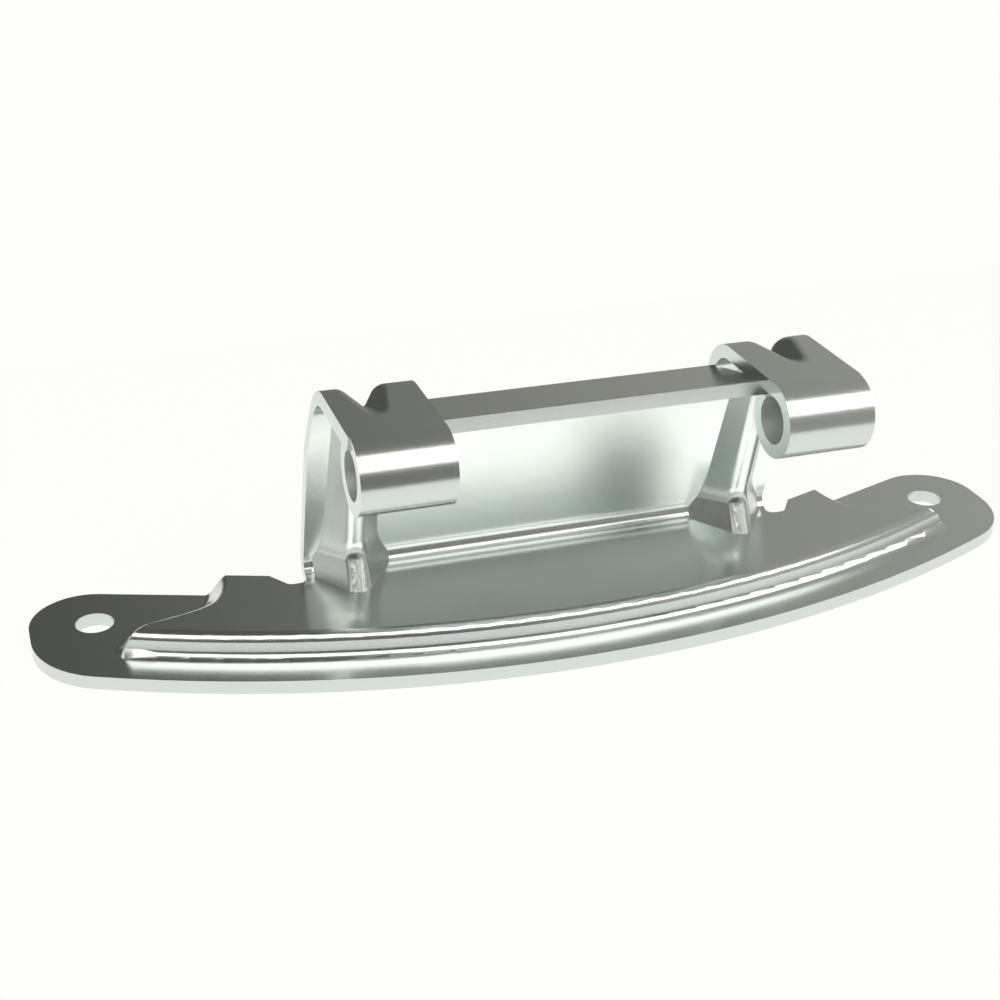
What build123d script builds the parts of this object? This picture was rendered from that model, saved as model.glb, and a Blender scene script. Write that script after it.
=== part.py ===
from build123d import *
import os
from math import cos, pi, radians, tan

# Washing machine door hinge: one leaf pressed from a single zinc plated steel sheet.
# Millimetres. X runs along the leaf, Y from the convex front edge to the back, Z up.
# The origin lies midway between the two screw holes, on the underside of the flange.

# Sheet
sheet = 2.2

# Flange: a crescent with a rounded ear and a screw hole at each end
hole_spacing = 150.0
hole_diameter = 6.1
ear_length = 10.1
front_depth = 32.7
front_radius = 185.0
back_edge_x = 47.0
back_edge_y = 0.2
back_edge_angle = 19.0
ear_front_radius = 14.0
ear_back_radius = 9.0

# Plateau raised out of the flange, with a narrow shelf left along the front edge.
# The curves of its end walls are given from the screw hole: along X, then along Y.
plateau_rise = 3.8
shelf_width = 6.4
front_wall_run = 0.8
rim_radius = 1.6
root_radius = 1.4
hollow_inset = 1.8
hollow_rim_radius = 0.5
foot_curve = [
    (-6.2, -15.5), (-3, -12.6), (-1.7, -9.9), (-2.7, -6.9), (-6.4, -4.1),
    (-12.4, -2.9), (-15.8, -1.2), (-17.4, 1.6), (-18, 7),
]
rim_curve = [
    (-8.5, -15.5), (-6.4, -13), (-5.9, -11.4), (-6.7, -10.3), (-9.2, -9.5),
    (-13.8, -8.4), (-18.8, -6), (-21.3, -1.4), (-21.8, 7),
]
wall_levels = 5
wall_overrun = 0.06

# Upright panel, leaning forward over the plateau
panel_foot_y = 3.05
panel_lean = 17.5
panel_width = 82.4
foot_bend_radius = 2.0
foot_leg_y = -7.0

# Relief notches in the back edge, beside the foot of the panel
notch_width = 3.0
notch_flare = 2.6
notch_bottom_y = -3.7
notch_radius = 1.3

# Top flange: a middle strip and two tabs that carry the rolled eyes.
# Above the straight part of the panel, the tabs draw in towards the eyes.
top_height = 42.9
tab_bend_radius = 4.8
tab_taper_height = 12.5
tab_taper = 1.2
strip_drop = 5.4
strip_bend_radius = 1.8
strip_front_y = -28.7

# Rolled eyes
eye_axis_y = -30.5
eye_diameter = 11.8
eye_inset = 1.4
eye_length = 14.2
seam_gap = 0.9

# Ribs pressed forward through both bends, one behind each eye. Depths are from the panel's back.
rib_inset = 7.5
rib_foot_reach = 9.6
rib_low_rise = 6.0
rib_low_depth = 6.8
rib_high_drop = 6.0
rib_high_depth = 5.8
rib_run_out = 4.8
rib_flank_angle = 52.0
rib_crest_width = 2.4
rib_crest_radius = 2.1
rib_bend_radius = 4.0
rib_reach = 8.0
groove_inset = 2.6
groove_crest_width = 1.2
groove_crest_radius = 1.0
groove_shoulder_radius = 1.8

hole_x = hole_spacing / 2
half_length = hole_x + ear_length
half_panel = panel_width / 2
notch_end_x = half_panel + notch_width + notch_flare
lean = tan(radians(panel_lean))
eye_radius = eye_diameter / 2
eye_outer_x = half_panel - eye_inset
eye_inner_x = eye_outer_x - eye_length
eye_axis_z = top_height - eye_radius
rib_x = half_panel - rib_inset
plateau_top = plateau_rise + sheet
front_centre_y = front_radius - front_depth
reach = 2 * half_length


def panel_back_y(height):
    """Y of the back face of the panel at a height."""
    return panel_foot_y - (height - plateau_rise) * lean


def back_edge(x):
    """Y of the slanted back edge of the flange at a distance from the middle."""
    return back_edge_y + (x - back_edge_x) * tan(radians(back_edge_angle))


def plateau(bottom, inset, upper_radius, lower_radius):
    """The raised form: a disc with a rounded rim, cut to the curved walls at both ends."""
    foot = front_radius - shelf_width - inset
    top = bottom + plateau_rise
    with BuildPart() as form:
        with BuildSketch(Plane((0, front_centre_y, 0), x_dir=(1, 0, 0), z_dir=(0, -1, 0))):
            with BuildLine():
                FilletPolyline(
                    (0, top),
                    (foot - front_wall_run, top),
                    (foot, bottom),
                    (foot + 2 * lower_radius, bottom),
                    radius=[upper_radius, lower_radius],
                )
                outside = foot + 2 * lower_radius
                Polyline((outside, bottom), (outside, -1), (0, -1), (0, top))
            make_face()
        revolve(axis=Axis((0, front_centre_y, 0), (0, 0, 1)))
        with BuildPart(mode=Mode.INTERSECT):
            for level in range(wall_levels + 1):
                run = level / wall_levels
                height = bottom + plateau_rise / 2 - (plateau_rise / 2 + wall_overrun) * cos(pi * run)
                wall = [
                    (hole_x + low_x + run * (high_x - low_x) - inset / 2, low_y + run * (high_y - low_y))
                    for (low_x, low_y), (high_x, high_y) in zip(foot_curve, rim_curve)
                ]
                with BuildSketch(Plane.XY.offset(height)):
                    with BuildLine():
                        Polyline((0, -reach), (wall[0][0], -reach), wall[0])
                        Spline(*wall)
                        Polyline(wall[-1], (wall[-1][0], reach), (0, reach))
                        mirror(about=Plane.YZ)
                    make_face()
            loft()
    return form.part


def upright_outline(bend_height, front_y, front_height, bend_radius):
    """Outer skin of foot, panel and top as one filled outline, with both bends rounded."""
    bend_y = panel_back_y(bend_height)
    with BuildSketch() as outline:
        with BuildLine():
            FilletPolyline(
                (front_y, front_height),
                (bend_y, bend_height),
                (panel_foot_y, plateau_rise),
                (front_y - reach, plateau_rise),
                radius=[bend_radius + sheet, foot_bend_radius + sheet],
            )
            slope = (front_height - bend_height) / (front_y - bend_y)
            Polyline(
                (front_y, front_height),
                (front_y - reach, front_height - reach * slope),
                (front_y - reach, plateau_rise),
            )
        make_face()
    return outline.sketch


def upright_section(outline, front_y):
    """The sheet just inside a filled outline, cut off at its front edge and on the plateau."""
    with BuildSketch() as section:
        add(outline)
        offset(amount=-sheet, mode=Mode.SUBTRACT)
        with Locations((front_y, top_height)):
            Rectangle(reach, reach, align=(Align.MAX, Align.CENTER), mode=Mode.SUBTRACT)
        with Locations((foot_leg_y, plateau_top + 1)):
            Rectangle(reach, reach, align=(Align.MAX, Align.MAX), mode=Mode.SUBTRACT)
    return section.sketch


def rib_profile(inset):
    """Corners of the rib seen from the side, its foot, crest and top lines set back by an inset."""
    low = plateau_top + rib_low_rise
    high = top_height - rib_high_drop
    low_y = panel_back_y(low) - rib_low_depth
    high_y = panel_back_y(high) - rib_high_depth
    foot_slope = (low_y + rib_foot_reach) / rib_low_rise
    top_slope = (rib_high_drop - sheet) / (eye_axis_y + rib_run_out - high_y)
    corners = [
        Vector(low_y - foot_slope * reach, low - reach),
        Vector(low_y, low),
        Vector(high_y, high),
        Vector(-reach, high - top_slope * (reach + high_y)),
    ]
    normals = [(end - start).normalized().rotate(Axis.Z, -90) for start, end in zip(corners, corners[1:])]
    before = [normals[0]] + normals
    after = normals + [normals[-1]]
    moved = [
        corner + (first + second) * (inset / (1 + first.dot(second)))
        for corner, first, second in zip(corners, before, after)
    ]
    return [(point.X, point.Y) for point in moved]


def rib_wedge(side, inset, crest_width, crest_radius):
    """A wedge whose rounded crest follows the rib and whose flanks fall back to both sides."""
    half_crest = crest_width / 2
    fall = rib_reach * tan(radians(rib_flank_angle))
    stations = [
        (-half_crest - rib_reach, fall),
        (-half_crest, 0),
        (half_crest, 0),
        (half_crest + rib_reach, fall),
    ]
    with BuildPart() as wedge:
        for distance, drop in stations:
            corners = rib_profile(inset + drop)
            with BuildSketch(Plane.YZ.offset(side * rib_x + distance)):
                with BuildLine():
                    FilletPolyline(*corners, radius=rib_bend_radius)
                    above = 2 * reach
                    Polyline(corners[-1], (-reach, above), (reach, above), (reach, -reach), corners[0])
                make_face()
        loft(ruled=True)
        crest = wedge.edges().filter_by(
            lambda edge: abs(abs(edge.center().X - side * rib_x) - half_crest) < 0.01
            and abs(edge.center().Z) < half_length
        )
        fillet(crest, radius=crest_radius)
    return wedge.part


strip_outline = upright_outline(top_height - strip_drop, strip_front_y, top_height, strip_bend_radius)
tab_outline = upright_outline(top_height, eye_axis_y, top_height, tab_bend_radius)

# Plan outline of the blank: half a crescent with its notch, mirrored
with BuildSketch() as blank:
    with Locations((0, front_centre_y)):
        Circle(front_radius)
    with BuildSketch(mode=Mode.INTERSECT):
        with BuildLine():
            Polyline(
                (0, -reach),
                (half_length, -reach),
                (half_length, back_edge(half_length)),
                (half_panel, back_edge(half_panel)),
                (half_panel, foot_leg_y),
                (0, foot_leg_y),
                close=True,
            )
        make_face()
    ear_corners = blank.vertices().filter_by(lambda v: v.X > half_length - 0.01).sort_by(Axis.Y)
    fillet(ear_corners[0], radius=ear_front_radius)
    back_corner = blank.vertices().filter_by(lambda v: v.Y > back_edge(half_length) - 0.01)
    fillet(back_corner, radius=ear_back_radius)
    with BuildSketch(mode=Mode.SUBTRACT):
        with BuildLine():
            FilletPolyline(
                (half_panel, reach),
                (half_panel, notch_bottom_y),
                (half_panel + notch_width, notch_bottom_y),
                (notch_end_x, back_edge(notch_end_x)),
                radius=notch_radius,
            )
            Polyline((notch_end_x, back_edge(notch_end_x)), (notch_end_x, reach), (half_panel, reach))
        make_face()
    mirror(about=Plane.YZ)

# Flange and plateau pressed out of it, with the screw holes
with BuildPart() as flange:
    extrude(blank.sketch, amount=sheet)
    add(plateau(sheet, 0, rim_radius, root_radius))
    add(plateau(0, hollow_inset, hollow_rim_radius, root_radius + sheet), mode=Mode.SUBTRACT)
    extrude(blank.sketch, amount=plateau_top, mode=Mode.INTERSECT)
    with Locations((-hole_x, 0), (hole_x, 0)):
        Cylinder(hole_diameter / 2, 4 * sheet, mode=Mode.SUBTRACT)

# Panel, middle strip and tabs, trimmed to the tapered side edges
with BuildPart() as upright:
    with BuildSketch(Plane.YZ):
        add(upright_section(strip_outline, strip_front_y))
    extrude(amount=eye_inner_x, both=True)
    for side in (-1, 1):
        with BuildSketch(Plane.YZ.offset(side * eye_inner_x)):
            add(upright_section(tab_outline, eye_axis_y))
        extrude(amount=side * half_panel)
    with BuildSketch(Plane.XZ):
        with BuildLine():
            Polyline(
                (0, 0),
                (half_panel, 0),
                (half_panel, top_height - tab_taper_height),
                (half_panel - tab_taper, top_height),
                (half_panel - tab_taper, reach),
                (0, reach),
            )
            mirror(about=Plane.YZ)
        make_face()
    extrude(amount=reach, both=True, mode=Mode.INTERSECT)

# Rolled eyes, with the open seam under the tab
with BuildPart() as eyes:
    for side in (-1, 1):
        with BuildSketch(Plane.YZ.offset(side * eye_inner_x)):
            with Locations((eye_axis_y, eye_axis_z)):
                Circle(eye_radius)
                Circle(eye_radius - sheet, mode=Mode.SUBTRACT)
            with Locations((eye_axis_y, top_height - sheet)):
                Rectangle(eye_diameter, seam_gap, align=(Align.MIN, Align.MAX), mode=Mode.SUBTRACT)
        extrude(amount=side * eye_length)

# Ribs: the front side added inside the tab outline
with BuildPart() as ribs:
    for side in (-1, 1):
        with BuildPart() as rib:
            add(rib_wedge(side, 0, rib_crest_width, rib_crest_radius))
            with BuildSketch(Plane.YZ.offset(side * eye_inner_x)):
                add(tab_outline)
                with Locations((eye_axis_y + rib_run_out, 0)):
                    Rectangle(reach, 2 * reach, align=(Align.MAX, Align.CENTER), mode=Mode.SUBTRACT)
            extrude(amount=side * eye_length, mode=Mode.INTERSECT)
        add(rib.part)

with BuildPart() as leaf:
    add(flange.part)
    add(upright.part)
    add(eyes.part)
    add(ribs.part)
    for side in (-1, 1):
        add(rib_wedge(side, groove_inset, groove_crest_width, groove_crest_radius), mode=Mode.SUBTRACT)
    groove_edges = leaf.edges().filter_by(GeomType.BSPLINE).filter_by(
        lambda edge: abs(edge.center().Y - panel_back_y(edge.center().Z)) < 0.05
    )
    fillet(groove_edges.sort_by(SortBy.LENGTH)[-4:], radius=groove_shoulder_radius)
leaf.part.label = "hinge_leaf"
os.makedirs("parts", exist_ok=True)
export_step(leaf.part, "parts/hinge_leaf.step")
print("leaf", leaf.part.volume, leaf.part.is_valid, len(leaf.solids()), leaf.part.bounding_box())
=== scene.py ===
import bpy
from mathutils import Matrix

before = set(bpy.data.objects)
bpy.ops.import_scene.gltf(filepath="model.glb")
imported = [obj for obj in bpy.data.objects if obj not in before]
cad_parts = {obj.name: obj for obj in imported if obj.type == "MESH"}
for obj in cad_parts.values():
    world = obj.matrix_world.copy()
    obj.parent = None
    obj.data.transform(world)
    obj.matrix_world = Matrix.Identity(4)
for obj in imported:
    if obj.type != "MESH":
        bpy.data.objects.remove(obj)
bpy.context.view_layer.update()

# %% [markdown]
# The hinge is one leaf, pressed from a single steel sheet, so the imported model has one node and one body.
# Its bends, ribs and rolled eyes are all in the CAD solid, and its mesh carries exact normals.
# Blender adds what a solid can't hold: the zinc plating, the light, the table and the camera.

# %% Names and units
from math import cos, radians, sin

import bpy
from mathutils import Quaternion, Vector

MM = 0.001
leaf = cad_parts["hinge_leaf"]
print("leaf triangles:", len(leaf.data.polygons))

# %% [markdown]
# Colours are written as sRGB hex values, the way a paint chart gives them.
# Blender's shaders work in linear light, so one function converts every colour.
# One more function adds a node, sets its sockets and links what feeds it. All materials are built with it.

# %% Colour and node helpers
def linear(hex_colour):
    channels = [int(hex_colour[i : i + 2], 16) / 255 for i in (1, 3, 5)]
    return tuple(c / 12.92 if c <= 0.04045 else ((c + 0.055) / 1.055) ** 2.4 for c in channels) + (1.0,)


def add_node(tree, kind, settings=None, **sockets):
    node = tree.nodes.new(kind)
    for name, value in (settings or {}).items():
        setattr(node, name, value)
    for name, value in sockets.items():
        socket = node.inputs[int(name[1:])] if name[1:].isdigit() else node.inputs[name.replace("_", " ")]
        if isinstance(value, bpy.types.NodeSocket):
            tree.links.new(value, socket)
        else:
            socket.default_value = value
    return node


def new_material(name):
    material = bpy.data.materials.new(name)
    material.use_nodes = True
    material.node_tree.nodes.clear()
    return material, material.node_tree


print("mid grey in linear light:", [round(value, 3) for value in linear("#808080")])

# %% [markdown]
# Bright zinc plating on pressed steel is a mirror with a fine frost: electroplated grains of a fraction of a
# millimetre break up each reflection, and the rolled sheet below them is not quite flat.
# A picture could carry that grain, but noise on Object coordinates needs no picture and no seams.
# A fine noise varies the roughness. Its grain is drawn about twice as coarse as real zinc's, so that it shows
# in the picture.

# %% Zinc grain
GRAIN = 0.22 * MM
NOISE_LOW, NOISE_HIGH = 0.3, 0.7
ROUGHNESS_LOW, ROUGHNESS_HIGH = 0.17, 0.27
zinc_steel, tree = new_material("zinc_plated_pressed_steel")
place = add_node(tree, "ShaderNodeTexCoord").outputs["Object"]
grain = add_node(tree, "ShaderNodeTexNoise", Vector=place, Scale=1 / GRAIN, Detail=3.0, Roughness=0.6)
frost = add_node(
    tree,
    "ShaderNodeMapRange",
    Value=grain.outputs["Fac"],
    From_Min=NOISE_LOW,
    From_Max=NOISE_HIGH,
    To_Min=ROUGHNESS_LOW,
    To_Max=ROUGHNESS_HIGH,
)
print("zinc grain:", round(GRAIN / MM, 2), "mm, roughness", ROUGHNESS_LOW, "to", ROUGHNESS_HIGH)

# %% [markdown]
# The photograph shows an even, pale tone inside the rolled eyes, so the plating is taken as dull there.
# Both eyes share one axis. A place belongs to a bore where it is nearer to that axis than the bore's wall,
# and there the roughness is raised.

# %% Dull bores
EYE_AXIS = Vector((0, -30.5, 37.0)) * MM
BORE_RADIUS = 3.75 * MM
BORE_ROUGHNESS = 0.6
section = add_node(tree, "ShaderNodeMapping", Vector=place, Scale=(0, 1, 1))
from_axis = add_node(
    tree, "ShaderNodeVectorMath", {"operation": "DISTANCE"}, _0=section.outputs[0], _1=EYE_AXIS
)
in_bore = add_node(
    tree, "ShaderNodeMath", {"operation": "LESS_THAN"}, _0=from_axis.outputs["Value"], _1=BORE_RADIUS
)
dull = add_node(tree, "ShaderNodeMath", {"operation": "MULTIPLY"}, _0=in_bore.outputs[0], _1=BORE_ROUGHNESS)
roughness = add_node(
    tree, "ShaderNodeMath", {"operation": "MAXIMUM"}, _0=frost.outputs[0], _1=dull.outputs[0]
)
print("bores are dull within", round(BORE_RADIUS / MM, 2), "mm of the eyes' axis")

# %% [markdown]
# Two bumps bend the reflections: a wide, soft one for the sheet as the press leaves it, and the fine grain.
# The shader is a plain metal. Here the zinc returns about three quarters of the light and is faintly blue, so
# faces that mirror other faces of the hinge go darker and bluer.

# %% Zinc plated steel
UNEVENNESS = 9 * MM
UNEVENNESS_DEPTH, UNEVENNESS_STRENGTH = 0.08 * MM, 0.35
GRAIN_DEPTH, GRAIN_STRENGTH = 0.02 * MM, 0.28
unevenness = add_node(tree, "ShaderNodeTexNoise", Vector=place, Scale=1 / UNEVENNESS, Detail=1.0)
soft_bump = add_node(
    tree,
    "ShaderNodeBump",
    Height=unevenness.outputs["Fac"],
    Distance=UNEVENNESS_DEPTH,
    Strength=UNEVENNESS_STRENGTH,
)
fine_bump = add_node(
    tree,
    "ShaderNodeBump",
    Height=grain.outputs["Fac"],
    Distance=GRAIN_DEPTH,
    Strength=GRAIN_STRENGTH,
    Normal=soft_bump.outputs["Normal"],
)
metal = add_node(
    tree,
    "ShaderNodeBsdfPrincipled",
    Base_Color=linear("#dae0de"),
    Metallic=1.0,
    Roughness=roughness.outputs[0],
    Normal=fine_bump.outputs["Normal"],
)
add_node(tree, "ShaderNodeOutputMaterial", Surface=metal.outputs["BSDF"])
leaf.data.materials.clear()
leaf.data.materials.append(zinc_steel)
print("material on the leaf:", leaf.data.materials[0].name)

# %% [markdown]
# The hinge lies on a white table. The table takes the hinge's soft shadow like any matt surface.
# For rays from the camera, and for those mirrored by the metal, it also glows enough to come out white.
# So the background is white without more light on the hinge.
# The table is only as large as the picture needs. Past its edges, the metal mirrors the dim room.

# %% White table
TABLE_LEFT, TABLE_RIGHT = -0.50, 0.60
TABLE_FRONT, TABLE_BACK = -0.13, 0.12
GLOW_SHARE = 0.94


def add_quad(name, corners, material):
    mesh = bpy.data.meshes.new(name)
    mesh.from_pydata(corners, [], [(0, 1, 2, 3)])
    quad = bpy.data.objects.new(name, mesh)
    bpy.context.scene.collection.objects.link(quad)
    mesh.materials.append(material)
    return quad


table_white, tree = new_material("matt_white_table")
ray = add_node(tree, "ShaderNodeLightPath").outputs
seen_or_mirrored = add_node(
    tree, "ShaderNodeMath", {"operation": "MAXIMUM"}, _0=ray["Is Camera Ray"], _1=ray["Is Glossy Ray"]
)
seen = add_node(
    tree,
    "ShaderNodeMath",
    {"operation": "MAXIMUM"},
    _0=seen_or_mirrored.outputs[0],
    _1=ray["Is Transmission Ray"],
)
glow_share = add_node(tree, "ShaderNodeMath", {"operation": "MULTIPLY"}, _0=seen.outputs[0], _1=GLOW_SHARE)
matt = add_node(tree, "ShaderNodeBsdfDiffuse", Color=linear("#f8f8f5"))
glow = add_node(tree, "ShaderNodeEmission", Color=linear("#fffffc"), Strength=1.0)
surface = add_node(
    tree, "ShaderNodeMixShader", _0=glow_share.outputs[0], _1=matt.outputs[0], _2=glow.outputs[0]
)
add_node(tree, "ShaderNodeOutputMaterial", Surface=surface.outputs[0])
add_quad(
    "white_table",
    [
        (TABLE_LEFT, TABLE_FRONT, 0),
        (TABLE_RIGHT, TABLE_FRONT, 0),
        (TABLE_RIGHT, TABLE_BACK, 0),
        (TABLE_LEFT, TABLE_BACK, 0),
    ],
    table_white,
)
print("table:", round(TABLE_RIGHT - TABLE_LEFT, 2), "by", round(TABLE_BACK - TABLE_FRONT, 2), "m")

# %% [markdown]
# Metal shows the room more than it shows its own colour. The photograph's reflections tell of a dim grey
# room, darker at the left. A large sphere stands for its walls, and their glow grows from left to right.
# The camera doesn't see the sphere, so every view keeps a plain pale background.

# %% Grey room
ROOM_RADIUS = 2.5
WALL_DARK, WALL_LIGHT = 0.095, 0.42
DARK_UP_TO, LIGHT_FROM = 0.0, 0.6
bpy.ops.mesh.primitive_uv_sphere_add(segments=64, ring_count=32, radius=ROOM_RADIUS)
room = bpy.context.object
room.name = "grey_room"
room.visible_camera = False
room_glow, tree = new_material("grey_room_walls")
place = add_node(tree, "ShaderNodeTexCoord").outputs["Object"]
direction = add_node(tree, "ShaderNodeVectorMath", {"operation": "NORMALIZE"}, _0=place)
across = add_node(tree, "ShaderNodeSeparateXYZ", _0=direction.outputs[0]).outputs["X"]
wall = add_node(
    tree,
    "ShaderNodeMapRange",
    Value=across,
    From_Min=DARK_UP_TO,
    From_Max=LIGHT_FROM,
    To_Min=WALL_DARK,
    To_Max=WALL_LIGHT,
)
walls = add_node(tree, "ShaderNodeEmission", Color=linear("#fefdf3"), Strength=wall.outputs[0])
add_node(tree, "ShaderNodeOutputMaterial", Surface=walls.outputs[0])
room.data.materials.append(room_glow)
print("room radius:", ROOM_RADIUS, "m")

# %% [markdown]
# The bright bands on the rolled eyes and the white panel come from one large softbox above the front of the
# hinge. A white card at the left lights the flanks of the ribs.
# Both are plain glowing sheets, because a sheet is mirrored with its true outline. The camera sees neither.

# %% Softbox and card
SOFTBOX_LOW, SOFTBOX_HIGH = radians(31), radians(73)
SOFTBOX_DISTANCE = 0.9
SOFTBOX_HALF_WIDTH = 1.0
SOFTBOX_STRENGTH = 2.4
CARD_LEFT = -0.9
CARD_FRONT, CARD_BACK = -0.5, 0.4
CARD_LOW, CARD_HIGH = 0.2, 0.9
CARD_STRENGTH = 1.2
lamps = {
    "softbox": (
        SOFTBOX_STRENGTH,
        [
            (side * SOFTBOX_HALF_WIDTH, -SOFTBOX_DISTANCE * cos(pitch), SOFTBOX_DISTANCE * sin(pitch))
            for side, pitch in ((-1, SOFTBOX_LOW), (1, SOFTBOX_LOW), (1, SOFTBOX_HIGH), (-1, SOFTBOX_HIGH))
        ],
    ),
    "white_card": (
        CARD_STRENGTH,
        [
            (CARD_LEFT, CARD_FRONT, CARD_LOW),
            (CARD_LEFT, CARD_BACK, CARD_LOW),
            (CARD_LEFT, CARD_BACK, CARD_HIGH),
            (CARD_LEFT, CARD_FRONT, CARD_HIGH),
        ],
    ),
}
for name, (strength, corners) in lamps.items():
    glowing, tree = new_material(name + "_glow")
    light = add_node(tree, "ShaderNodeEmission", Color=linear("#fffaf5"), Strength=strength)
    add_node(tree, "ShaderNodeOutputMaterial", Surface=light.outputs[0])
    add_quad(name, corners, glowing).visible_camera = False
    print(name, "strength", strength)

# %% [markdown]
# Behind the table the camera sees the world, which is as white as the table, so that no seam shows.
# The room's sphere keeps the world's light off the hinge.

# %% World
BACKDROP_STRENGTH = 0.985
world = bpy.data.worlds.new("pale_backdrop")
bpy.context.scene.world = world
world.use_nodes = True
world.node_tree.nodes.clear()
backdrop = add_node(
    world.node_tree, "ShaderNodeBackground", Color=linear("#fffffc"), Strength=BACKDROP_STRENGTH
)
add_node(world.node_tree, "ShaderNodeOutputWorld", Surface=backdrop.outputs[0])
print("world:", world.name)

# %% [markdown]
# The camera stands to the left in front of the hinge and looks down at about 26 degrees.
# Its place was solved from the two screw holes, the flange's edges and the eyes, all seen in the photograph.
# The picture is square, and Blender's 36 mm sensor then spans its full width.

# %% Camera
AZIMUTH, ELEVATION, ROLL = radians(-18.68), radians(26.38), radians(0.60)
DISTANCE = 289.6 * MM
TARGET = Vector((-5.26, 6.24, 10.72)) * MM
SENSOR_WIDTH = 36.0
FOCAL_LENGTH_IN_PICTURE_WIDTHS = 1.6908
backward = Vector((sin(AZIMUTH) * cos(ELEVATION), -cos(AZIMUTH) * cos(ELEVATION), sin(ELEVATION)))
camera_data = bpy.data.cameras.new("camera")
camera_data.sensor_width = SENSOR_WIDTH
camera_data.lens = SENSOR_WIDTH * FOCAL_LENGTH_IN_PICTURE_WIDTHS
camera_data.clip_start = 10 * MM
camera = bpy.data.objects.new("camera", camera_data)
camera.location = TARGET + backward * DISTANCE
camera.rotation_mode = "QUATERNION"
camera.rotation_quaternion = (-backward).to_track_quat("-Z", "Y") @ Quaternion((0, 0, 1), ROLL)
bpy.context.scene.collection.objects.link(camera)
bpy.context.scene.camera = camera
bpy.context.scene.view_settings.view_transform = "Standard"
print("camera at", [round(value, 3) for value in camera.location], "lens", round(camera_data.lens, 2))
